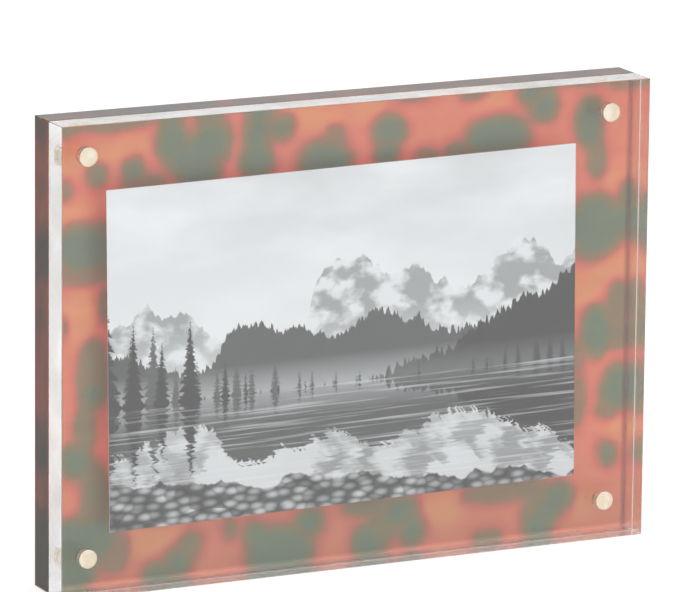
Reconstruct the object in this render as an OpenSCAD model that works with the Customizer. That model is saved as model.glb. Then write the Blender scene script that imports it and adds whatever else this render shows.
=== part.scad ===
// Free-standing block photo frame.
// A clear front block and a clear rear block clamp a print between them by disc magnets in the corners,
// and a tortoiseshell film is bonded to the back of the rear block.
// The frame stands on z = 0 with its front towards -y, centred on x = 0 and y = 0. Sizes are millimetres.

/* [Blocks] */
// Width of both acrylic blocks
block_w = 190.5; // [175:0.1:260]
// Height of both acrylic blocks
block_h = 139.7; // [125:0.1:210]
// Thickness of the front block
front_t = 9.5; // [6:0.1:16]
// Thickness of the rear block
rear_t = 9.5; // [6:0.1:16]
// Width of the polished chamfer along the edges of a block, other than the square ones under the film
edge_chamfer = 0.2; // [0.1:0.05:1.5]

/* [Photo print] */
// Width of the print
photo_w = 152.4; // [90:0.1:160]
// Height of the print
photo_h = 101.6; // [60:0.1:110]
// Thickness of the photo paper, which is the gap that it holds open between the blocks
photo_t = 0.25; // [0.15:0.05:0.6]
// Distance of the print to the right of the frame's middle
photo_shift_x = -1.9; // [-4:0.1:4]
// Distance of the print above the frame's middle
photo_shift_z = -0.9; // [-4:0.1:4]
// Turn of the print, anticlockwise as seen from the front, in degrees
photo_turn = 0.7; // [-2:0.1:2]

/* [Tortoiseshell film] */
// Thickness of the film
film_t = 0.25; // [0.1:0.05:1]

/* [Magnets] */
// Diameter of a disc magnet
magnet_d = 5.5; // [4:0.1:8]
// Thickness of a disc magnet
magnet_t = 2; // [1:0.1:4.5]
// Radius of the rounded rims of a disc magnet
magnet_rim = 0.3; // [0.1:0.05:0.8]
// Distance of a magnet's axis from the two block edges nearest to it
magnet_inset = 10.4; // [8:0.1:14]
// Gap for glue round a magnet in its pocket
glue_gap = 0.05; // [0.02:0.01:0.2]
// Depth of a magnet's outer face below the face of its block
magnet_recess = 0.1; // [0.05:0.05:0.5]

/* [Hidden] */
$fn = 96;
// Length by which a cutter stands out of the face that it cuts
cut_over = 1;

// Places along y, from the front face to the back of the film
depth = front_t + photo_t + rear_t + film_t;
front_y = -depth / 2;
photo_y = front_y + front_t;
rear_y = photo_y + photo_t;
film_y = rear_y + rear_t;
middle_z = block_h / 2;

// A pocket takes a magnet, its glue and its recess
pocket_r = magnet_d / 2 + glue_gap;
pocket_depth = magnet_t + magnet_recess;

// Corner names, with the side of the middle that each lies on along x and z
CORNERS = [
    ["top_left", -1, 1],
    ["top_right", 1, 1],
    ["bottom_left", -1, -1],
    ["bottom_right", 1, -1]
];

function front_magnet_name(corner) = str("front_magnet_", corner[0]);
function rear_magnet_name(corner) = str("rear_magnet_", corner[0]);

// Rectangle about the origin with its front corners cut at 45 degrees, and its back corners cut or left square
module cut_rectangle(w, t, c, cut_back) {
    x = w / 2;
    y = t / 2;
    front = [[-x, c - y], [c - x, -y], [x - c, -y], [x, c - y]];
    back = cut_back ? [[x, y - c], [x - c, y], [c - x, y], [-x, y - c]] : [[x, y], [-x, y]];
    polygon(concat(front, back));
}

// Outline of a block seen from the front, as a plate of thickness t about the origin
module block_plate(t) {
    rotate([90, 0, 0]) linear_extrude(t, center = true) cut_rectangle(block_w, block_h, edge_chamfer, true);
}

// Block of thickness t about the origin, with its edges chamfered or those of its back face left square
module chamfered_block(t, cut_back) {
    intersection() {
        block_plate(t);
        linear_extrude(block_h, center = true) cut_rectangle(block_w, t, edge_chamfer, cut_back);
        rotate([90, 0, 90]) linear_extrude(block_w, center = true)
            rotate(-90) cut_rectangle(block_h, t, edge_chamfer, cut_back);
    }
}

// Moves its children to a corner's magnet axis, at the place given along y
module at_corner(corner, y) {
    translate([
        corner[1] * (block_w / 2 - magnet_inset),
        y,
        middle_z + corner[2] * (block_h / 2 - magnet_inset)
    ]) children();
}

// Drilled pocket from y = 0 back along +y, with a flat floor
module pocket() {
    translate([0, pocket_depth, 0]) rotate([90, 0, 0]) cylinder(r = pocket_r, h = pocket_depth + cut_over);
}

// Disc magnet from y = 0 back along +y, with rounded rims
module disc_magnet() {
    rim_x = magnet_d / 2 - magnet_rim;
    rotate([-90, 0, 0]) rotate_extrude() {
        square([rim_x, magnet_t]);
        translate([0, magnet_rim]) square([magnet_d / 2, magnet_t - 2 * magnet_rim]);
        for (rim_y = [magnet_rim, magnet_t - magnet_rim])
            intersection() {
                translate([rim_x, rim_y]) circle(r = magnet_rim);
                square([magnet_d / 2, magnet_t]);
            }
    }
}

// Clear block with a pocket in its back face at each corner
module front_block() {
    color([0.93, 0.96, 0.96, 0.35])
        difference() {
            translate([0, front_y + front_t / 2, middle_z]) chamfered_block(front_t, true);
            for (corner = CORNERS) at_corner(corner, photo_y) mirror([0, 1, 0]) pocket();
        }
}

// Clear block with a pocket in its front face at each corner
module rear_block() {
    color([0.90, 0.94, 0.93, 0.35])
        difference() {
            translate([0, rear_y + rear_t / 2, middle_z]) chamfered_block(rear_t, false);
            for (corner = CORNERS) at_corner(corner, rear_y) pocket();
        }
}

// Printed film over the whole back face of the rear block, trimmed flush with it
module tortoise_film() {
    color([0.76, 0.36, 0.29])
        translate([0, film_y + film_t / 2, middle_z]) block_plate(film_t);
}

// Paper print clamped between the blocks
module photo_print() {
    color([0.80, 0.81, 0.82])
        translate([photo_shift_x, photo_y, middle_z + photo_shift_z])
            rotate([0, -photo_turn, 0])
                translate([-photo_w / 2, 0, -photo_h / 2]) cube([photo_w, photo_t, photo_h]);
}

// Magnet glued to the floor of a pocket in the front block
module front_magnet(corner) {
    color([0.85, 0.74, 0.52])
        at_corner(corner, photo_y - magnet_recess) mirror([0, 1, 0]) disc_magnet();
}

// Magnet glued to the floor of a pocket in the rear block
module rear_magnet(corner) {
    color([0.85, 0.74, 0.52])
        at_corner(corner, rear_y + magnet_recess) disc_magnet();
}

front_block();
rear_block();
tortoise_film();
photo_print();
for (corner = CORNERS) {
    front_magnet(corner);
    rear_magnet(corner);
}
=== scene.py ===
"""A free-standing photo frame: two clear acrylic blocks that disc magnets hold together, a print clamped
between them and a tortoiseshell film on the back. Lengths are metres, in the frame of the CAD part."""

import math

import bpy
import numpy as np
from mathutils import Matrix, Vector, noise


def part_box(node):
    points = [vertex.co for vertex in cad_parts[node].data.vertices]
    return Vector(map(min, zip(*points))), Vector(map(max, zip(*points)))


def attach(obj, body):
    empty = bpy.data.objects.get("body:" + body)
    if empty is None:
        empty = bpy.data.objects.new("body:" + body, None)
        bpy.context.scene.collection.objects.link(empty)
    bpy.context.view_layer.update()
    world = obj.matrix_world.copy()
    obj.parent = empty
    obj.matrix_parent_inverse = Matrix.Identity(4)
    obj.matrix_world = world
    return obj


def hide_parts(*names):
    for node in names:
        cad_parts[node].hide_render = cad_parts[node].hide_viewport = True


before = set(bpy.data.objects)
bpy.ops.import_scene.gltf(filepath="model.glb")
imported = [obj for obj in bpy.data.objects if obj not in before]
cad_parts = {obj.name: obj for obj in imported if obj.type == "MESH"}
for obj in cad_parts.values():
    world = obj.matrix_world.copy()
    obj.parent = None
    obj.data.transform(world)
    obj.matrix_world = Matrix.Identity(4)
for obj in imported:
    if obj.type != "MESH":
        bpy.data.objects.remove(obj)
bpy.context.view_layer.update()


# Camera
# A long lens stands well to the left of the frame and a little above it, turned down to it, so that the left
# and top edges of both blocks show beside the front.
CAMERA_PLACE = (-0.8518, -1.7334, 0.5118)
CAMERA_YAW = 0.4574
CAMERA_PITCH = 0.21995
CAMERA_ROLL = 0.0102
CAMERA_LENS_MM = 346.44
CAMERA_SENSOR_MM = 36

camera = bpy.data.objects.new("camera", bpy.data.cameras.new("camera"))
bpy.context.scene.collection.objects.link(camera)
camera.data.sensor_width = CAMERA_SENSOR_MM
camera.data.lens = CAMERA_LENS_MM
camera.matrix_world = (
    Matrix.Translation(CAMERA_PLACE)
    @ Matrix.Rotation(-CAMERA_YAW, 4, "Z")
    @ Matrix.Rotation(math.pi / 2 - CAMERA_PITCH, 4, "X")
    @ Matrix.Rotation(CAMERA_ROLL, 4, "Z")
)
bpy.context.scene.camera = camera


# White studio
# A light table of white acrylic, lit from below, runs back out of sight under an even white sky, as in a
# light tent. A wide soft lamp overhead lifts it to white.
WHITE = (1, 1, 1, 1)
TABLE_SIZE = 12
TABLE_DROP = 0.00015
TABLE_WHITE = (0.5, 0.5, 0.5, 1)
TABLE_GLOW = 0.55
TABLE_ROUGHNESS = 0.9
SKY_STRENGTH = 1.0
LAMP_PLACE = (-0.5, -0.6, 1.8)
LAMP_SIZE = 1.6
LAMP_WATTS = 8
LIGHT_BOUNCES = 40

world = bpy.data.worlds.new("white_tent")
bpy.context.scene.world = world
world.use_nodes = True
sky = world.node_tree.nodes["Background"]
sky.inputs["Color"].default_value = WHITE
sky.inputs["Strength"].default_value = SKY_STRENGTH

bpy.ops.object.select_all(action="DESELECT")
bpy.ops.mesh.primitive_plane_add(size=TABLE_SIZE, location=(0, 0, -TABLE_DROP))
table = bpy.context.object
table.name = "table_top"
table_white = bpy.data.materials.new("table_white")
table_white.use_nodes = True
table_shader = table_white.node_tree.nodes["Principled BSDF"]
table_shader.inputs["Base Color"].default_value = TABLE_WHITE
table_shader.inputs["Emission Color"].default_value = WHITE
table_shader.inputs["Emission Strength"].default_value = TABLE_GLOW
table_shader.inputs["Roughness"].default_value = TABLE_ROUGHNESS
table_shader.inputs["Specular IOR Level"].default_value = 0
table.data.materials.append(table_white)

lamp = bpy.data.objects.new("overhead_softbox", bpy.data.lights.new("overhead_softbox", "AREA"))
bpy.context.scene.collection.objects.link(lamp)
lamp.data.energy = LAMP_WATTS
lamp.data.size = LAMP_SIZE
lamp.location = LAMP_PLACE
lamp.rotation_euler = (-lamp.location).to_track_quat("-Z", "Y").to_euler()

# Light runs along inside clear acrylic by many mirror bounces before it leaves at an edge, and soft light
# that passes through it has to stay unblurred to reach the film at its full strength.
for bounces in ("max_bounces", "glossy_bounces", "transmission_bounces", "diffuse_bounces"):
    setattr(bpy.context.scene.cycles, bounces, LIGHT_BOUNCES)
bpy.context.scene.cycles.blur_glossy = 0
bpy.context.scene.view_settings.view_transform = "Standard"


# Tortoiseshell film
# A thin film printed with soft grey-green blotches on salmon, bonded over the whole back of the rear block
# and trimmed flush with it. The pattern shows through both blocks from the front, and directly from behind.
FILM_LAP = 0.00002
FILM_CELL = 0.0015
FILM_CORNER = 0.0002
FILM_RIM = 0.00004

film_low, film_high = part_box("tortoise_film")
film_size = film_high - film_low
film_middle = (film_low + film_high) / 2
film_front = film_low.y - FILM_LAP

bpy.ops.object.select_all(action="DESELECT")
bpy.ops.mesh.primitive_grid_add(
    x_subdivisions=round(film_size.x / FILM_CELL),
    y_subdivisions=round(film_size.z / FILM_CELL),
    size=1,
    location=(film_middle.x, film_front, film_middle.z),
    rotation=(math.pi / 2, 0, 0),
)
film = bpy.context.object
film.name = "tortoiseshell_film"
film.scale = (film_size.x, film_size.z, 1)
bpy.ops.object.transform_apply(location=True, rotation=True, scale=True)
film_wall = film.modifiers.new("thickness", "SOLIDIFY")
film_wall.thickness = film_high.y - film_front
film_wall.offset = -1
bpy.ops.object.modifier_apply(modifier=film_wall.name)


def select_edges(piece, wanted):
    """Selects the edges of a piece whose two end points pass a test, for the next operator in edit mode."""
    bpy.ops.object.mode_set(mode="EDIT")
    bpy.ops.mesh.select_mode(type="EDGE")
    bpy.ops.mesh.select_all(action="DESELECT")
    bpy.ops.object.mode_set(mode="OBJECT")
    for edge in piece.data.edges:
        start, end = (piece.data.vertices[i].co for i in edge.vertices)
        edge.select = wanted(start, end)
    bpy.ops.object.mode_set(mode="EDIT")


def at_corner(start, end):
    """Whether an edge runs through the thickness of the film at one of its four corners."""
    through = abs(start.y - end.y) > FILM_RIM
    across = abs(abs(start.x - film_middle.x) - film_size.x / 2) < FILM_RIM
    upright = abs(abs(start.z - film_middle.z) - film_size.z / 2) < FILM_RIM
    return through and across and upright


select_edges(film, at_corner)
bpy.ops.mesh.bevel(offset=FILM_CORNER, offset_type="WIDTH", segments=1, affect="EDGES")
bpy.ops.object.mode_set(mode="OBJECT")
film_rim = film.modifiers.new("rim", "BEVEL")
film_rim.width = FILM_RIM
film_rim.segments = 1
film_rim.limit_method = "ANGLE"
bpy.ops.object.modifier_apply(modifier=film_rim.name)

# Blotches in millimetres, from the middle of the foot: x, z, half width and half height. A fifth number holds
# the middle of a weak blotch back at the colour of a rim.
OLIVE = 0.9
TAWNY = 0.45
FAINT = 0.1
BLOTCHES = (
    # Top border
    (-90, 139.5, 8, 5, OLIVE), (-73, 139.3, 13, 5, OLIVE), (-89.5, 118.5, 2.4, 2.8, FAINT),
    (-79.2, 122, 2.8, 3, OLIVE), (-67.5, 122.3, 3.4, 3.6), (-64, 119, 6, 2, FAINT), (-55.1, 130.5, 5.1, 7),
    (-55.5, 138, 3.3, 4), (-42.3, 129, 6.3, 6.6), (-43, 137, 4.2, 4, OLIVE), (-48.3, 125, 8, 6.4),
    (-46.5, 120, 6.5, 5), (-27, 137, 4.6, 5), (-27.6, 130, 4.5, 6), (-27.5, 122.5, 5.4, 6),
    (-19.5, 131.5, 3.6, 3.2), (-23, 131.5, 3, 2.6, OLIVE), (-6, 120.3, 9, 6.2),
    (-1.8, 127.5, 2.8, 3.2, FAINT), (15, 127.3, 5.7, 5), (14.4, 121, 4.3, 4), (23, 139.5, 7, 3, OLIVE),
    (42, 139.3, 4.5, 3.2, OLIVE), (37, 119.5, 3.8, 2.8, OLIVE), (27.5, 119, 2.5, 2.2, FAINT),
    (51, 123, 11.3, 6.5), (66.4, 131.4, 4.5, 5), (61.8, 136.7, 4.2, 4.5), (65.5, 137.5, 4, 3.5, OLIVE),
    (78, 139.5, 9, 3, FAINT), (81.4, 125.3, 5.1, 8), (83.8, 114.8, 3.3, 6.4, OLIVE), (92, 139, 6, 3.6, OLIVE),
    # Left border
    (-82.5, 100.7, 9.5, 7.2), (-78, 105.5, 3.5, 3.5, OLIVE), (-83, 93, 8, 2.5, FAINT),
    (-76, 84, 1.4, 4, FAINT), (-91.5, 78, 2, 2.5, FAINT), (-79.8, 63.5, 5, 10, OLIVE), (-79.5, 57, 3.8, 5),
    (-82, 48, 3, 7, OLIVE), (-85.5, 37.5, 5.6, 5.2), (-80.5, 32, 3.6, 5, OLIVE), (-79.3, 24, 4.1, 7.5, OLIVE),
    (-85.5, 13, 9, 8.5),
    # Bottom border
    (-79, 14, 6, 7.5), (-87, 5, 8, 6), (-73.5, 9.5, 4.5, 5.5, FAINT), (-59.5, 0, 5, 4.6), (-53, 4, 4.7, 4.7),
    (-48.8, 9.3, 3.5, 3.6, OLIVE), (-35.8, 12.5, 1.4, 2.2, FAINT), (-19.5, 4, 11.2, 8.6), (-27, 10, 4.3, 4.3),
    (-10, 12, 4.4, 4.5), (9.5, 3.5, 5.8, 5.8), (20.3, 12, 5.6, 5), (24, 6, 4, 5), (8.5, 14.8, 8, 2.8, OLIVE),
    (14.5, 8.5, 5, 4.5, OLIVE), (52.5, 15, 11.5, 2.6, TAWNY), (64, 14.7, 4.5, 2.6, TAWNY),
    (49, -0.5, 4.5, 3.5, OLIVE), (72.3, 11, 5.2, 5.2), (69, 7, 4.5, 4.5), (66, 2.5, 5, 5),
    (65, 7, 4, 6, TAWNY),
    # Right border
    (83.5, 93.5, 9, 10.2), (95, 101.5, 3, 5), (92, 94, 5, 5.5), (85.5, 61.2, 5.7, 7.8),
    (92.5, 70, 3.5, 5.5, OLIVE), (93, 60, 3.5, 5, OLIVE), (92.6, 43, 6.2, 7.2), (89, 36.5, 3, 2.5, FAINT),
    (89.8, 22.6, 3, 3.5), (78.5, 54, 2, 4, FAINT), (79, 40, 2.4, 7, FAINT),
    # Middle, which the print covers from the front
    (-60, 103, 9, 6), (-51, 97, 6, 6), (-65, 96, 4, 6, OLIVE), (-30, 107, 7, 5), (-23, 101, 5, 7),
    (-36, 110, 5, 3.5, OLIVE), (1, 101, 8, 7), (8, 94, 6.5, 5), (-6, 94, 5, 4, OLIVE), (29, 107, 6, 5),
    (36, 101, 8, 5), (42, 95, 5, 5, OLIVE), (62, 102, 6, 9), (56, 95, 5, 5, OLIVE), (67, 93, 4, 4, FAINT),
    (-64, 78, 6, 8), (-60, 71, 5, 5, OLIVE), (-40, 80, 10, 6), (-33, 73, 5, 8), (-49, 83, 5, 4, OLIVE),
    (-14, 78, 5, 8), (-9, 71, 7, 5), (-17, 86, 3, 4, FAINT), (15, 76, 9, 6), (22, 71, 5, 7),
    (8, 80, 5, 4, OLIVE), (46, 79, 7, 8), (52, 73, 6, 5, OLIVE), (39, 75, 4, 4, FAINT), (66, 73, 5, 8),
    (68, 64, 3.5, 4, OLIVE),
    (-54, 55, 8, 6), (-46, 50, 7, 5), (-61, 60, 5, 4, OLIVE), (-26, 53, 6, 8), (-19, 58, 5, 5, OLIVE),
    (-31, 45, 4, 5), (1, 51, 10, 6), (9, 45, 6, 6), (-7, 55, 5, 4, OLIVE), (31, 54, 6, 7), (38, 59, 5, 5),
    (26, 47, 4, 4, FAINT), (55, 50, 8, 6), (62, 44, 5, 7), (49, 54, 5, 4, OLIVE), (-64, 35, 6, 9),
    (-58, 29, 5, 5, OLIVE), (-39, 31, 9, 6), (-32, 26, 5, 4), (-46, 35, 4, 4, OLIVE), (-12, 31, 6, 8),
    (-5, 27, 6, 4, OLIVE), (17, 28, 9, 5), (25, 33, 5, 6), (9, 26, 4, 3, FAINT), (43, 33, 6, 8),
    (50, 27, 6, 5), (38, 40, 4, 4, OLIVE), (66, 28, 5, 5, OLIVE),
)
# Ochre clouds in the salmon ground, by the same numbers
OCHRES = (
    (-87, 126, 8, 4.5), (-71, 128.5, 10, 4), (-88, 111, 7, 4.5), (-9, 134, 11, 4.5), (8, 136, 6, 4),
    (48, 135, 6, 3), (90, 107, 6, 4), (80, 74, 7, 5.5), (90, 80, 8, 5.5), (-84, 80, 6, 9), (-62, 12, 10, 5),
    (34, 12, 7, 5.5), (93, 29, 4, 6), (82, 8, 4, 4), (-36, 93, 9, 5), (20, 89, 7, 5), (53, 87, 8, 5),
    (-50, 66, 9, 4), (-20, 67, 4, 5), (3, 63, 8, 5), (54, 63, 9, 4), (-40, 41, 8, 4), (-12, 43, 8, 4),
    (20, 40, 7, 4), (68, 52, 3, 6),
)
# Two wavers in their outlines: how wide each is, and how far it strays
WARP_WIDE = (14, 1.2)
WARP_FINE = (5, 0.6)
WARP_SEED = 40
BLOTCH_BLEND = 2
FAR_OUTSIDE = -20.0
NEARLY_NOTHING = 0.001
MM_PER_METRE = 1000


def smooth_maximum(first, second, blend):
    """The larger of two fields, with the crease between them rounded over a width."""
    closeness = np.maximum(blend - np.abs(first - second), 0) / blend
    return np.maximum(first, second) + closeness**2 * blend / 4


points = np.empty(3 * len(film.data.vertices))
film.data.vertices.foreach_get("co", points)
points = points.reshape(-1, 3) * MM_PER_METRE
noise.seed_set(WARP_SEED)
for scale, strength in (WARP_WIDE, WARP_FINE):
    points += [strength * noise.noise_vector(Vector((x, scale, z)) / scale) for x, _, z in points]
for name, patches in (("shell_depth", BLOTCHES), ("ochre_depth", OCHRES)):
    field = np.full(len(points), FAR_OUTSIDE)
    for x, z, half_w, half_h, *core in patches:
        across = (points[:, 0] - x) / half_w
        upwards = (points[:, 2] - z) / half_h
        ring = np.hypot(across, upwards)
        slope = np.hypot(across / half_w, upwards / half_h) / np.maximum(ring, NEARLY_NOTHING)
        deepest = core[0] if core else min(half_w, half_h)
        depth = np.minimum((1 - ring) / np.maximum(slope, NEARLY_NOTHING), deepest)
        field = smooth_maximum(field, depth, BLOTCH_BLEND)
    film.data.attributes.new(name, "FLOAT", "POINT").data.foreach_set("value", field)

# Depth into a blotch in millimetres, below nothing outside it, and the colour there
SHELL_RANGE = (-7, 3)
SHELL_COLOURS = (
    (-7.0, (0.88, 0.36, 0.175, 1)),
    (-4.2, (0.875, 0.34, 0.17, 1)),
    (-2.8, (0.85, 0.30, 0.16, 1)),
    (-1.5, (0.77, 0.255, 0.14, 1)),
    (-0.5, (0.60, 0.27, 0.125, 1)),
    (0.3, (0.46, 0.29, 0.12, 1)),
    (1.0, (0.375, 0.305, 0.125, 1)),
    (1.9, (0.305, 0.318, 0.145, 1)),
    (3.0, (0.222, 0.325, 0.188, 1)),
)
FILM_ROUGHNESS = 0.25
OCHRE = (0.89, 0.48, 0.18, 1)
OCHRE_DEPTHS = (-2.5, 2.5)
OCHRE_FADE = (-3.5, -1)
# Noise is given by its scale and detail, and most of its values lie within the span.
NOISE_SPAN = (0.3, 0.7)
EDGE_NOISE = 0.5
EDGE_GRAIN = (0.5, 3)
STREAK_SCALE = (0.03, 0.03, 0.16)
STREAK_GRAIN = (1, 4)
STREAK_SHARE = (0.93, 1.05)
# The salmon ground lets red light spread inside the film, the blotches hardly.
RED_DEPTHS = (-1.5, 0.5)
RED_REACH = (1.0, 0.1)
OTHER_REACH = 0.12
REACH_SCALE = 0.0006
# Painted shade darkens the film along its trimmed sides and a little towards its foot, painted light pales
# its foot's edge.
SIDE_PAINTED_SHADE = (0.50, 0.19, 0.12, 1)
SIDE_SHADE_WIDTHS = (0.0001, 0.0014)
FOOT_PAINTED_SHADE = (0.76, 0.83, 0.83, 1)
FOOT_SHADE_REACH = 0.035
FOOT_RIM = (0.0005, 0.0013)
FOOT_PAINTED_LIGHT = (0.95, 0.92, 0.90, 1)
FOOT_PAINTED_LIGHT_SHARE = 0.15
# Its bare back, lit more than the face that is bonded to the acrylic, is dulled by painted shade. A face is
# turned along an axis when its normal reaches this far along it.
BACK_PAINTED_SHADE = (0.72, 0.74, 0.95, 1)
TURNED = 0.5


def add_node(tree, kind, inputs, **fields):
    """A new shader node with its fields set, and its inputs set to values or linked to nodes' outputs."""
    node = tree.nodes.new(kind)
    for field, value in fields.items():
        setattr(node, field, value)
    for socket, value in inputs.items():
        if isinstance(value, bpy.types.NodeSocket):
            tree.links.new(value, node.inputs[socket])
        else:
            node.inputs[socket].default_value = value
    return node


def calculate(tree, operation, *values, **fields):
    """The result of one Math node on values or other nodes' outputs."""
    return add_node(tree, "ShaderNodeMath", dict(enumerate(values)), operation=operation, **fields).outputs[0]


def between(tree, value, low, high, first=0.0, last=1.0):
    """A value's place between two limits, held at both and carried over to another range."""
    limits = {"Value": value, "From Min": low, "From Max": high, "To Min": first, "To Max": last}
    return add_node(tree, "ShaderNodeMapRange", limits).outputs["Result"]


def noise_at(tree, place, scale, detail):
    """The value of one Noise node at a place."""
    grain = {"Vector": place, "Scale": scale, "Detail": detail}
    return add_node(tree, "ShaderNodeTexNoise", grain).outputs["Fac"]


def stretched(tree, place, scale):
    """A place scaled along each axis by one Mapping node."""
    return add_node(tree, "ShaderNodeMapping", {"Vector": place, "Scale": scale}).outputs[0]


def mix_colour(tree, share, first, second, blend="MIX"):
    """The colour of one Mix node, from the first colour at no share to the second at a full one."""
    mix = add_node(tree, "ShaderNodeMix", {0: share, 6: first, 7: second}, data_type="RGBA", blend_type=blend)
    return mix.outputs[2]


def ramp_colour(tree, value, low, high, stops):
    """The colour of one Color Ramp node at a value between two limits, with stops on the same scale."""
    ramp = add_node(tree, "ShaderNodeValToRGB", {"Fac": between(tree, value, low, high)})
    elements = ramp.color_ramp.elements
    while len(elements) < len(stops):
        elements.new(0.5)
    for element, (stop, colour) in zip(elements, stops):
        element.position = (stop - low) / (high - low)
        element.color = colour
    return ramp.outputs["Color"]


tortoiseshell = bpy.data.materials.new("tortoiseshell")
tortoiseshell.use_nodes = True
tree = tortoiseshell.node_tree
coordinates = add_node(tree, "ShaderNodeTexCoord", {}).outputs
place = coordinates["Object"]
spot = add_node(tree, "ShaderNodeSeparateXYZ", {0: place}).outputs
place_mm = stretched(tree, place, (MM_PER_METRE, 0, MM_PER_METRE))
wobble = noise_at(tree, place_mm, *EDGE_GRAIN)
wobble = calculate(tree, "MULTIPLY_ADD", wobble, 2 * EDGE_NOISE, -EDGE_NOISE)
depth = add_node(tree, "ShaderNodeAttribute", {}, attribute_name="shell_depth").outputs["Fac"]
depth = calculate(tree, "ADD", depth, wobble)
shell_colour = ramp_colour(tree, depth, *SHELL_RANGE, SHELL_COLOURS)

ochre = add_node(tree, "ShaderNodeAttribute", {}, attribute_name="ochre_depth").outputs["Fac"]
ochre = between(tree, calculate(tree, "ADD", ochre, wobble), *OCHRE_DEPTHS)
ochre = calculate(tree, "MULTIPLY", ochre, between(tree, depth, *OCHRE_FADE, 1, 0))
shell_colour = mix_colour(tree, ochre, shell_colour, OCHRE)
streak = noise_at(tree, stretched(tree, place_mm, STREAK_SCALE), *STREAK_GRAIN)
streak = between(tree, streak, *NOISE_SPAN, *STREAK_SHARE)
streaked = {0: shell_colour, "Scale": streak}
shell_colour = add_node(tree, "ShaderNodeVectorMath", streaked, operation="SCALE").outputs[0]

# Painted shade, a little darker towards the foot of the film.
painted_foot_shade = between(tree, spot["Z"], 0, FOOT_SHADE_REACH, 1, 0)
painted_foot_shade = calculate(tree, "MULTIPLY", painted_foot_shade, between(tree, spot["Z"], *FOOT_RIM))
shell_colour = mix_colour(tree, painted_foot_shade, shell_colour, FOOT_PAINTED_SHADE, "MULTIPLY")
# Painted light, paler along the very foot of the film.
painted_foot_light = between(tree, spot["Z"], *FOOT_RIM, FOOT_PAINTED_LIGHT_SHARE, 0)
shell_colour = mix_colour(tree, painted_foot_light, shell_colour, FOOT_PAINTED_LIGHT)
# Painted shade along the film's trimmed sides.
from_side = calculate(tree, "SUBTRACT", film_size.x / 2, calculate(tree, "ABSOLUTE", spot["X"]))
painted_side_shade = between(tree, from_side, *SIDE_SHADE_WIDTHS, 1, 0)
shell_colour = mix_colour(tree, painted_side_shade, shell_colour, SIDE_PAINTED_SHADE, "MULTIPLY")
# Painted shade on the film's bare back.
backwards = add_node(tree, "ShaderNodeSeparateXYZ", {0: coordinates["Normal"]}).outputs["Y"]
back = calculate(tree, "GREATER_THAN", backwards, TURNED)
shell_colour = mix_colour(tree, back, shell_colour, BACK_PAINTED_SHADE, "MULTIPLY")

red_reach = between(tree, depth, *RED_DEPTHS, *RED_REACH)
reach = {"X": red_reach, "Y": OTHER_REACH, "Z": OTHER_REACH}
reach = add_node(tree, "ShaderNodeCombineXYZ", reach).outputs[0]
shell_shader = tree.nodes["Principled BSDF"]
tree.links.new(shell_colour, shell_shader.inputs["Base Color"])
tree.links.new(reach, shell_shader.inputs["Subsurface Radius"])
shell_shader.inputs["Subsurface Weight"].default_value = 1
shell_shader.inputs["Subsurface Scale"].default_value = REACH_SCALE
shell_shader.inputs["Roughness"].default_value = FILM_ROUGHNESS
film.data.materials.append(tortoiseshell)
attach(film, "rear")
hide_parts("tortoise_film")


# Rear block
# A sawn block of cast acrylic with polished faces, slightly hazy outer edges, a sawn foot and fine chamfers,
# drilled part way in at its corners for the magnets. Its outer edges are darkened by painted shade.
ACRYLIC_IOR = 1.49
CLEAR = (1, 1, 1, 1)
# Edge tints: painted shade, with patches of the film's salmon painted in where it would show through.
REAR_EDGE_PAINTED_SHADES = ((0.003, 0.0012, 0.0006, 1), (0.028, 0.004, 0.002, 1))
REAR_EDGE_PAINTED_SHEENS = ((0.1, 0.1, 0, 1), (0.9, 0.2, 0, 1))
REAR_EDGE_ROUGHNESS = 0.22
# Height in millimetres, and how far the edge leans there from its first painted tint to its second
REAR_EDGE_SHADE_SHARES = (
    (0, 0.2), (17, 0.25), (27, 0.58), (40, 0.3), (54, 0.65), (72, 0.68), (86, 0.6), (100, 0.3), (113, 0.65),
    (128, 0.78), (138, 0.55),
)
EDGE_CLOUDS = (70, 1)
CLOUD_LIMITS = (0.9, 1.15)
# Chamfers in the front half of the block, matt at the gap, and in its back half, satin
# Their tints are painted shade, greying the lines of light along the chamfers.
REAR_CHAMFER_PAINTED_SHADES = ((0.60, 0.66, 0.66, 1), (0.60, 0.66, 0.66, 1))
REAR_CHAMFER_ROUGHNESS = (1, 0.4)
BORE_ROUGHNESS = 0.4
# Fine marks across the foot: how close they lie, where noise passes from polish to mark, and both finishes
SAW_SCALE = (3000, 20000, 0)
SAW_GRAIN = (1, 1)
SAW_LIMITS = (0.53, 0.57)
SAW_ROUGHNESS = (0.03, 0.9)
REAR_SAW_SHARE = -0.03
# Faces within the margin of the outline are outer ones. The parts of a normal tell edges from chamfers.
MARGIN = 0.001
FOOT_HEIGHT = 0.0004
EDGEWAYS = 0.1
STRAIGHT = 0.9


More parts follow.
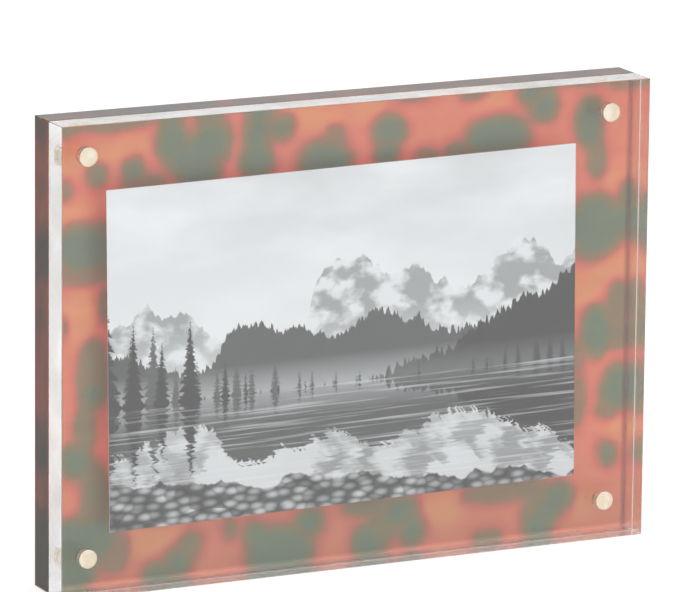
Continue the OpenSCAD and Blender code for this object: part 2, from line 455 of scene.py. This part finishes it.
def worked_faces():
    """A node group over a block: masks of its outer edges, foot, chamfers and bores, and the saw marks."""
    group = bpy.data.node_groups.new("worked_faces", "ShaderNodeTree")
    for name in ("Half Width", "Height", "Saw Share"):
        group.interface.new_socket(name, in_out="INPUT", socket_type="NodeSocketFloat")
    for name in ("Edge", "Foot", "Chamfer", "Bore", "Saw Marks"):
        group.interface.new_socket(name, in_out="OUTPUT", socket_type="NodeSocketFloat")
    given = add_node(group, "NodeGroupInput", {}).outputs
    coordinates = add_node(group, "ShaderNodeTexCoord", {}).outputs
    place = add_node(group, "ShaderNodeSeparateXYZ", {0: coordinates["Object"]}).outputs
    facing = add_node(group, "ShaderNodeSeparateXYZ", {0: coordinates["Normal"]}).outputs
    sideways, forwards, upwards = (calculate(group, "ABSOLUTE", facing[axis]) for axis in "XYZ")
    straight = calculate(group, "MAXIMUM", calculate(group, "MAXIMUM", sideways, forwards), upwards)
    from_side = calculate(group, "SUBTRACT", given["Half Width"], calculate(group, "ABSOLUTE", place["X"]))
    from_top = calculate(group, "SUBTRACT", given["Height"], place["Z"])
    from_rim = calculate(group, "MINIMUM", from_side, calculate(group, "MINIMUM", from_top, place["Z"]))
    inner = calculate(group, "GREATER_THAN", from_rim, MARGIN)
    outer = calculate(group, "SUBTRACT", 1, inner)
    foot = calculate(group, "LESS_THAN", place["Z"], FOOT_HEIGHT)
    chamfer = calculate(group, "MULTIPLY", outer, calculate(group, "LESS_THAN", straight, STRAIGHT))
    edge = calculate(group, "MULTIPLY", outer, calculate(group, "LESS_THAN", forwards, EDGEWAYS))
    edge = calculate(group, "SUBTRACT", edge, calculate(group, "MAXIMUM", foot, chamfer), use_clamp=True)
    bore = calculate(group, "MULTIPLY", inner, calculate(group, "LESS_THAN", forwards, TURNED))
    sawn = noise_at(group, stretched(group, coordinates["Object"], SAW_SCALE), *SAW_GRAIN)
    sawn = between(group, calculate(group, "ADD", sawn, given["Saw Share"]), *SAW_LIMITS, *SAW_ROUGHNESS)
    masks = {"Edge": edge, "Foot": foot, "Chamfer": chamfer, "Bore": bore, "Saw Marks": sawn}
    add_node(group, "NodeGroupOutput", masks)
    return group


WORKED_FACES = worked_faces()


def acrylic(node, painted_edge_shades, edge_shade_shares, edge_roughness, painted_chamfer_shades, chamfer_roughness, saw_share):
    """Gives a block a clear acrylic with hazy edges in clouds of painted shade, a sawn foot, satin bores and
    chamfers of two finishes tinted with painted shade. Returns its node tree and the clouds in its edges."""
    low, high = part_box(node)
    material = bpy.data.materials.new(f"{node}_acrylic")
    material.use_nodes = True
    tree = material.node_tree
    block = {"Half Width": (high.x - low.x) / 2, "Height": high.z, "Saw Share": saw_share}
    faces = add_node(tree, "ShaderNodeGroup", block, node_tree=WORKED_FACES).outputs
    place = add_node(tree, "ShaderNodeTexCoord", {}).outputs["Object"]
    spot = add_node(tree, "ShaderNodeSeparateXYZ", {0: place}).outputs
    behind = calculate(tree, "GREATER_THAN", spot["Y"], (low.y + high.y) / 2)
    scraped = between(tree, behind, 0, 1, *chamfer_roughness)
    roughness = calculate(tree, "MULTIPLY", faces["Bore"], BORE_ROUGHNESS)
    roughness = calculate(tree, "MULTIPLY_ADD", faces["Chamfer"], scraped, roughness)
    roughness = calculate(tree, "MULTIPLY_ADD", faces["Edge"], edge_roughness, roughness)
    roughness = calculate(tree, "MULTIPLY_ADD", faces["Foot"], faces["Saw Marks"], roughness)
    # The edges' painted shade, its share given by height and stirred by a cloud of noise.
    shade_shares = [(height_mm / MM_PER_METRE, (share, share, share, 1)) for height_mm, share in edge_shade_shares]
    shade_share = ramp_colour(tree, spot["Z"], 0, high.z, shade_shares)
    cloud = calculate(tree, "ADD", noise_at(tree, place, *EDGE_CLOUDS), shade_share)
    cloud = between(tree, cloud, *CLOUD_LIMITS)
    # Painted shade on the outer edges and on the chamfers.
    painted_tint = mix_colour(tree, faces["Edge"], CLEAR, mix_colour(tree, cloud, *painted_edge_shades))
    painted_tint = mix_colour(tree, faces["Chamfer"], painted_tint, mix_colour(tree, behind, *painted_chamfer_shades))
    shader = tree.nodes["Principled BSDF"]
    tree.links.new(roughness, shader.inputs["Roughness"])
    tree.links.new(painted_tint, shader.inputs["Base Color"])
    shader.inputs["IOR"].default_value = ACRYLIC_IOR
    shader.inputs["Transmission Weight"].default_value = 1
    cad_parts[node].data.materials.clear()
    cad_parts[node].data.materials.append(material)
    return tree, cloud


tree, cloud = acrylic(
    "rear_block",
    REAR_EDGE_PAINTED_SHADES,
    REAR_EDGE_SHADE_SHARES,
    REAR_EDGE_ROUGHNESS,
    REAR_CHAMFER_PAINTED_SHADES,
    REAR_CHAMFER_ROUGHNESS,
    REAR_SAW_SHARE,
)

# What these edges mirror is tinted by the same clouds too, a painted reflection that keeps them dark and
# brown.
coordinates = add_node(tree, "ShaderNodeTexCoord", {}).outputs
upright = add_node(tree, "ShaderNodeSeparateXYZ", {0: coordinates["Object"]}).outputs["Z"]
backwards = add_node(tree, "ShaderNodeSeparateXYZ", {0: coordinates["Normal"]}).outputs["Y"]
edgeways = calculate(tree, "LESS_THAN", calculate(tree, "ABSOLUTE", backwards), EDGEWAYS)
edgeways = calculate(tree, "MULTIPLY", edgeways, calculate(tree, "GREATER_THAN", upright, FOOT_HEIGHT))
painted_sheen = mix_colour(tree, edgeways, CLEAR, mix_colour(tree, cloud, *REAR_EDGE_PAINTED_SHEENS))
tree.links.new(painted_sheen, tree.nodes["Principled BSDF"].inputs["Specular Tint"])


# Rear magnets
# Four plated disc magnets with rounded rims, each glued into a pocket in the front of the rear block, a
# little below its face. Glue fills the pocket, so each is widened to its wall and lapped into its floor.
MAGNET_SIDES = 96
MAGNET_RIM = 0.0003
MAGNET_RIM_STEPS = 4
MAGNET_RIM_ANGLE = math.radians(60)
MAGNET_SMOOTH_ANGLE = math.radians(30)
GLUE_LAP = 0.00002
GLUE_WIDTH = 0.00007
CORNERS = ("top_left", "top_right", "bottom_left", "bottom_right")
GOLD = (0.86, 0.77, 0.63, 1)
GOLD_DEEP = (0.81, 0.70, 0.52, 1)
GOLD_ROUGHNESS = (0.22, 0.32)
GOLD_CLOUDS = (320, 1)
GOLD_SPAN = (0.35, 0.65)

gold = bpy.data.materials.new("magnet_gold")
gold.use_nodes = True
tree = gold.node_tree
place = add_node(tree, "ShaderNodeTexCoord", {}).outputs["Object"]
cloud = between(tree, noise_at(tree, place, *GOLD_CLOUDS), *GOLD_SPAN)
gold_shader = tree.nodes["Principled BSDF"]
tree.links.new(mix_colour(tree, cloud, GOLD, GOLD_DEEP), gold_shader.inputs["Base Color"])
tree.links.new(between(tree, cloud, 0, 1, *GOLD_ROUGHNESS), gold_shader.inputs["Roughness"])
gold_shader.inputs["Metallic"].default_value = 1

magnet_low, magnet_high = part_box("rear_magnet_top_left")
bpy.ops.object.select_all(action="DESELECT")
bpy.ops.mesh.primitive_cylinder_add(
    vertices=MAGNET_SIDES,
    radius=(magnet_high.x - magnet_low.x) / 2 + GLUE_WIDTH,
    depth=magnet_high.y - magnet_low.y + GLUE_LAP,
    location=(0, 0, 0),
    rotation=(math.pi / 2, 0, 0),
)
disc = bpy.context.object
bpy.ops.object.transform_apply(location=True, rotation=True, scale=True)
disc_rim = disc.modifiers.new("rim", "BEVEL")
disc_rim.width = MAGNET_RIM
disc_rim.segments = MAGNET_RIM_STEPS
disc_rim.limit_method = "ANGLE"
disc_rim.angle_limit = MAGNET_RIM_ANGLE
bpy.ops.object.modifier_apply(modifier=disc_rim.name)
bpy.ops.object.shade_smooth_by_angle(angle=MAGNET_SMOOTH_ANGLE)
disc.data.materials.append(gold)


def lay_magnet(name, node, lap):
    """A copy of the disc with its own mesh, laid in the place of a CAD magnet and moved by half a lap."""
    low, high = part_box(node)
    magnet = bpy.data.objects.new(name, disc.data.copy())
    bpy.context.scene.collection.objects.link(magnet)
    magnet.data.transform(Matrix.Translation((low + high + Vector((0, lap, 0))) / 2))
    return magnet


for corner in CORNERS:
    magnet = lay_magnet(f"rear_disc_{corner}", f"rear_magnet_{corner}", GLUE_LAP)
    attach(magnet, "rear")
    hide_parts(f"rear_magnet_{corner}")


# Print
# A black-and-white landscape on glossy photo paper, with white cut edges and a white back, laid on the rear
# block a touch crooked and clamped there by the front block.
PRINT_SIZE = (0.1524, 0.1016)
PRINT_TURN = math.radians(0.7)
PRINT_AIR = 0.00003
PRINT_RIM = 0.00004
PRINT_RIM_STEPS = 2
PAPER_WHITE = (0.90, 0.91, 0.92, 1)
PAPER_ROUGHNESS = 0.15
INK_BLACK = (0.016, 0.016, 0.016, 1)
INK_WHITE = (0.78, 0.81, 0.825, 1)

print_low, print_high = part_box("photo_print")
print_middle = (print_low + print_high) / 2
bpy.ops.object.select_all(action="DESELECT")
bpy.ops.mesh.primitive_cube_add(
    size=1,
    location=print_middle,
    rotation=(0, -PRINT_TURN, 0),
    scale=(PRINT_SIZE[0], print_high.y - print_low.y - 2 * PRINT_AIR, PRINT_SIZE[1]),
)
photo = bpy.context.object
photo.name = "landscape_print"
bpy.ops.object.transform_apply(location=True, rotation=True, scale=True)
sheet_rim = photo.modifiers.new("rim", "BEVEL")
sheet_rim.width = PRINT_RIM
sheet_rim.segments = PRINT_RIM_STEPS
bpy.ops.object.modifier_apply(modifier=sheet_rim.name)

# The picture's lengths are millimetres. Ridges have a scale, a seed, a lowest and a highest place, mists a
# top, a share and a tone, and outlines a width over which they fade.
RIDGE_DETAIL = 6
OUTLINE = 0.4


def mix_value(tree, share, first, second):
    """The value of one Mix node, from the first value at no share to the second at a full one."""
    return add_node(tree, "ShaderNodeMix", {0: share, 2: first, 3: second}).outputs[0]


def drawn_out(tree, across, height, scale):
    """A place in the picture, scaled along it and up it."""
    scaled = [calculate(tree, "MULTIPLY", *pair) for pair in zip((across, height), scale)]
    return add_node(tree, "ShaderNodeCombineXYZ", dict(enumerate(scaled))).outputs[0]


def cloud_at(tree, across, height, scale, detail):
    """A noise value over the picture, drawn out along it and up it by two scales."""
    return noise_at(tree, drawn_out(tree, across, height, scale), 1, detail)


def skyline(tree, across, scale, seed, low, high):
    """The height of a rough ridge along the picture."""
    along = {"W": calculate(tree, "ADD", across, seed), "Scale": scale, "Detail": RIDGE_DETAIL}
    rough = add_node(tree, "ShaderNodeTexNoise", along, noise_dimensions="1D").outputs["Fac"]
    return between(tree, rough, *NOISE_SPAN, low, high)


def misted(tree, tone, height, mist_top, mist_share, mist_tone):
    """A tone that mist covers by a share at the water, and by less up to the mist's top."""
    return mix_value(tree, between(tree, height, 0, mist_top, mist_share, 0), tone, mist_tone)


def laid_over(tree, tone, top, height, nearer_tone, outline=OUTLINE):
    """A tone with a nearer thing laid over it, up to the top of that thing."""
    inside = between(tree, calculate(tree, "SUBTRACT", top, height), 0, outline)
    return mix_value(tree, inside, tone, nearer_tone)


paper = bpy.data.materials.new("photo_paper")
paper.use_nodes = True
tree = paper.node_tree
coordinates = add_node(tree, "ShaderNodeTexCoord", {}).outputs
sheet = add_node(
    tree,
    "ShaderNodeMapping",
    {
        "Vector": coordinates["Object"],
        "Location": print_middle,
        "Rotation": (0, -PRINT_TURN, 0),
        "Scale": (1 / MM_PER_METRE, 1 / MM_PER_METRE, 1 / MM_PER_METRE),
    },
    vector_type="TEXTURE",
).outputs[0]
sheet = add_node(tree, "ShaderNodeSeparateXYZ", {0: sheet}).outputs

# A lake fills the lower part of the picture and mirrors what stands above its water line, blurred by ripples.
WATER_LINE = -14
SHORE_OUTLINE = 0.1
RIPPLE_SCALE = (0.06, 0.9)
RIPPLE_DETAIL = 3
RIPPLE_NEAREST = -30
RIPPLE_SWAY = 2.2
above = calculate(tree, "SUBTRACT", sheet["Z"], WATER_LINE)
wet = between(tree, above, -SHORE_OUTLINE, SHORE_OUTLINE, 1, 0)
ripple = cloud_at(tree, sheet["X"], above, RIPPLE_SCALE, RIPPLE_DETAIL)
ripple = between(tree, ripple, *NOISE_SPAN, -1, 1)
ripple = calculate(tree, "MULTIPLY", ripple, between(tree, above, RIPPLE_NEAREST, 0, RIPPLE_SWAY, 0))
across = calculate(tree, "ADD", sheet["X"], ripple)
height = calculate(tree, "ADD", calculate(tree, "ABSOLUTE", above), ripple)

# Tones run from 0 in black to 1 in white. A pale sky with clouds comes first, then nearer things over it.
SKY_TOP = 65
SKY_TONES = (0.98, 0.78)
CLOUD_SCALE = (0.018, 0.045)
CLOUD_DETAIL = 6
CLOUD_SPAN = (0.42, 0.64)
CLOUD_SHARE = 0.85
CLOUD_TONE = 1.0
clouds = cloud_at(tree, across, height, CLOUD_SCALE, CLOUD_DETAIL)
clouds = between(tree, clouds, *CLOUD_SPAN, 0, CLOUD_SHARE)
tone = mix_value(tree, clouds, between(tree, height, 0, SKY_TOP, *SKY_TONES), CLOUD_TONE)

# A far range with snow, its foot in mist
FAR_RIDGE = (0.022, 11, 8, 44)
FAR_MIST = (22, 0.9, 0.93)
SNOW_SCALE = (0.10, 0.13)
SNOW_DETAIL = 8
SNOW_SPAN = (0.44, 0.56)
SNOW_TONES = (0.42, 0.90)
far_top = skyline(tree, across, *FAR_RIDGE)
snow = cloud_at(tree, across, height, SNOW_SCALE, SNOW_DETAIL)
snow = between(tree, snow, *SNOW_SPAN, *SNOW_TONES)
tone = laid_over(tree, tone, far_top, height, misted(tree, snow, height, *FAR_MIST))

# Wooded hills in the middle distance, and one that rises to the right
HILL_RIDGES = ((0.03, 40, 5, 23), (0.9, 3, 0, 2.2))
HILL_TONE = 0.10
HILL_MIST = (9, 0.6, 0.75)
RISE_PLACES = (5, 80)
RISE_HEIGHTS = (-4, 26)
RISE_RIDGES = ((0.05, 77, -3, 3), (0.7, 5, 0, 3))
RISE_TONE = 0.03
RISE_MIST = (8, 0.35, 0.45)
hill_top = calculate(tree, "ADD", *(skyline(tree, across, *ridge) for ridge in HILL_RIDGES))
tone = laid_over(tree, tone, hill_top, height, misted(tree, HILL_TONE, height, *HILL_MIST))
rise_top = between(tree, across, *RISE_PLACES, *RISE_HEIGHTS)
for ridge in RISE_RIDGES:
    rise_top = calculate(tree, "ADD", rise_top, skyline(tree, across, *ridge))
tone = laid_over(tree, tone, rise_top, height, misted(tree, RISE_TONE, height, *RISE_MIST))

# Firs along the shore: tall ones to the left, a row behind them and young ones to the right. Their branches
# hang in tiers, each a share of the tree's height, and reach out by a share of the way down from the tip.
FIRS = (
    # Cell, seed, tone, and the tallest tip at each of two places along the shore
    (6.5, 5, 0.12, (-76, 5), (32, 3)),
    (9, 2, 0.03, (-76, -22), (48, 4)),
    (5, 9, 0.05, (30, 76), (2, 16)),
)
FIR_SEED_STEP = 13.7
FIR_TRUNKS = (0.3, 0.7)
FIR_HEIGHTS = (0.45, 1)
FIR_TIER = 0.1
FIR_BRANCHES = (0.09, 0.17)
FIR_OUTLINE = (-0.1, 0.4)
NEEDLE_SCALE = (1.4, 1.8)
NEEDLE_DETAIL = 2
NEEDLE_REACH = 0.5


def fir_row():
    """A node group that masks a row of firs, each of random height and place in its cell along the shore."""
    group = bpy.data.node_groups.new("fir_row", "ShaderNodeTree")
    for name in ("Across", "Height", "Cell", "Tallest", "Seed"):
        group.interface.new_socket(name, in_out="INPUT", socket_type="NodeSocketFloat")
    group.interface.new_socket("Mask", in_out="OUTPUT", socket_type="NodeSocketFloat")
    given = add_node(group, "NodeGroupInput", {}).outputs
    cells = calculate(group, "ADD", calculate(group, "DIVIDE", given["Across"], given["Cell"]), given["Seed"])
    cell = calculate(group, "MULTIPLY_ADD", given["Seed"], FIR_SEED_STEP, calculate(group, "FLOOR", cells))
    chance = add_node(group, "ShaderNodeTexWhiteNoise", {"W": cell}, noise_dimensions="1D").outputs["Color"]
    chance = add_node(group, "ShaderNodeSeparateColor", {0: chance}).outputs
    trunk = between(group, chance["Red"], 0, 1, *FIR_TRUNKS)
    aside = calculate(group, "SUBTRACT", calculate(group, "FRACT", cells), trunk)
    aside = calculate(group, "ABSOLUTE", calculate(group, "MULTIPLY", aside, given["Cell"]))
    tip = calculate(group, "MULTIPLY", given["Tallest"], between(group, chance["Green"], 0, 1, *FIR_HEIGHTS))
    below_tip = calculate(group, "SUBTRACT", tip, given["Height"])
    tier = calculate(group, "DIVIDE", below_tip, calculate(group, "MULTIPLY", tip, FIR_TIER))
    tier = calculate(group, "FRACT", tier)
    reach = calculate(group, "MULTIPLY", below_tip, between(group, tier, 0, 1, *FIR_BRANCHES))
    ragged = cloud_at(group, given["Across"], given["Height"], NEEDLE_SCALE, NEEDLE_DETAIL)
    ragged = between(group, ragged, *NOISE_SPAN, -NEEDLE_REACH, NEEDLE_REACH)
    reach = calculate(group, "SUBTRACT", calculate(group, "ADD", reach, ragged), aside)
    under_tip = between(group, below_tip, 0, OUTLINE)
    mask = calculate(group, "MULTIPLY", between(group, reach, *FIR_OUTLINE), under_tip)
    add_node(group, "NodeGroupOutput", {"Mask": mask})
    return group


FIR_ROW = fir_row()
for cell, seed, fir_tone, places, tips in FIRS:
    tallest = between(tree, across, *places, *tips)
    row = {"Across": across, "Height": height, "Cell": cell, "Tallest": tallest, "Seed": seed}
    firs = add_node(tree, "ShaderNodeGroup", row, node_tree=FIR_ROW).outputs["Mask"]
    tone = mix_value(tree, firs, tone, fir_tone)

# Water, a little darker than what it mirrors, with pale streaks
GLINT_SCALE = (0.02, 1.1)
GLINT_DETAIL = 3
GLINT_SPAN = (0.52, 0.68)
GLINT_SHARE = 0.5
GLINT_TONE = 0.95
WATER_SHADE = 0.86
glint = cloud_at(tree, sheet["X"], above, GLINT_SCALE, GLINT_DETAIL)
glint = between(tree, glint, *GLINT_SPAN, 0, GLINT_SHARE)
water = mix_value(tree, glint, calculate(tree, "MULTIPLY", tone, WATER_SHADE), GLINT_TONE)
tone = mix_value(tree, wet, tone, water)

# A stony beach in front, highest at the left
BEACH_PLACES = (-76, 76)
BEACH_HEIGHTS = (-37, -48)
BEACH_RIDGE = (0.06, 21, -3, 3)
BEACH_OUTLINE = 0.6
STONE_SCALE = (0.22, 0.45)
STONE_TONES = (0.15, 0.7)
STONE_RIM = (0.15, 0.6)
STONE_SHADE = 0.15
beach_top = between(tree, sheet["X"], *BEACH_PLACES, *BEACH_HEIGHTS)
beach_top = calculate(tree, "ADD", beach_top, skyline(tree, sheet["X"], *BEACH_RIDGE))
stones = {"Vector": drawn_out(tree, sheet["X"], sheet["Z"], STONE_SCALE), "Scale": 1}
stones = add_node(tree, "ShaderNodeTexVoronoi", stones, voronoi_dimensions="2D").outputs
stone_tone = add_node(tree, "ShaderNodeSeparateColor", {0: stones["Color"]}).outputs["Red"]
stone_tone = between(tree, stone_tone, 0, 1, *STONE_TONES)
stone_shade = between(tree, stones["Distance"], *STONE_RIM, 1, STONE_SHADE)
stone_tone = calculate(tree, "MULTIPLY", stone_tone, stone_shade)
tone = laid_over(tree, tone, beach_top, sheet["Z"], stone_tone, BEACH_OUTLINE)

picture = mix_colour(tree, tone, INK_BLACK, INK_WHITE)
backwards = add_node(tree, "ShaderNodeSeparateXYZ", {0: coordinates["Normal"]}).outputs["Y"]
printed = calculate(tree, "LESS_THAN", backwards, -TURNED)
paper_shader = tree.nodes["Principled BSDF"]
tree.links.new(mix_colour(tree, printed, PAPER_WHITE, picture), paper_shader.inputs["Base Color"])
paper_shader.inputs["Roughness"].default_value = PAPER_ROUGHNESS
photo.data.materials.append(paper)
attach(photo, "photo")
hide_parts("photo_print")


# Front magnets
# Four discs like the rear ones, glued to the floors of the pockets in the back of the front block, where
# their plated faces show through the acrylic. They pull on the rear magnets and so clamp the print.
for corner in CORNERS:
    magnet = lay_magnet(f"front_disc_{corner}", f"front_magnet_{corner}", -GLUE_LAP)
    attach(magnet, "front")
    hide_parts(f"front_magnet_{corner}")
bpy.data.objects.remove(disc)


# Front block
# A second block of the same sawn and polished acrylic, drilled from the back for its magnets. It pulls
# straight off to change the print.
# The outer edges are greyed by painted shade, palest at the foot and darkest part way up.
FRONT_EDGE_PAINTED_SHADES = ((0.71, 0.71, 0.70, 1), (1, 1, 1, 1))
FRONT_EDGE_SHADE_SHARES = ((0, 0.75), (25, 0.65), (60, 0.35), (120, 0.3), (138, 0.5))
FRONT_EDGE_ROUGHNESS = 0.2
# Chamfers in the front half of the block, satin, and in its back half, matt at the gap
# Their tints are painted shade, greying the lines of light along the chamfers and warming them at the gap.
FRONT_CHAMFER_PAINTED_SHADES = ((0.85, 0.85, 0.84, 1), (0.78, 0.58, 0.53, 1))
FRONT_CHAMFER_ROUGHNESS = (0.4, 1)
FRONT_SAW_SHARE = -0.02

acrylic(
    "front_block",
    FRONT_EDGE_PAINTED_SHADES,
    FRONT_EDGE_SHADE_SHARES,
    FRONT_EDGE_ROUGHNESS,
    FRONT_CHAMFER_PAINTED_SHADES,
    FRONT_CHAMFER_ROUGHNESS,
    FRONT_SAW_SHARE,
)
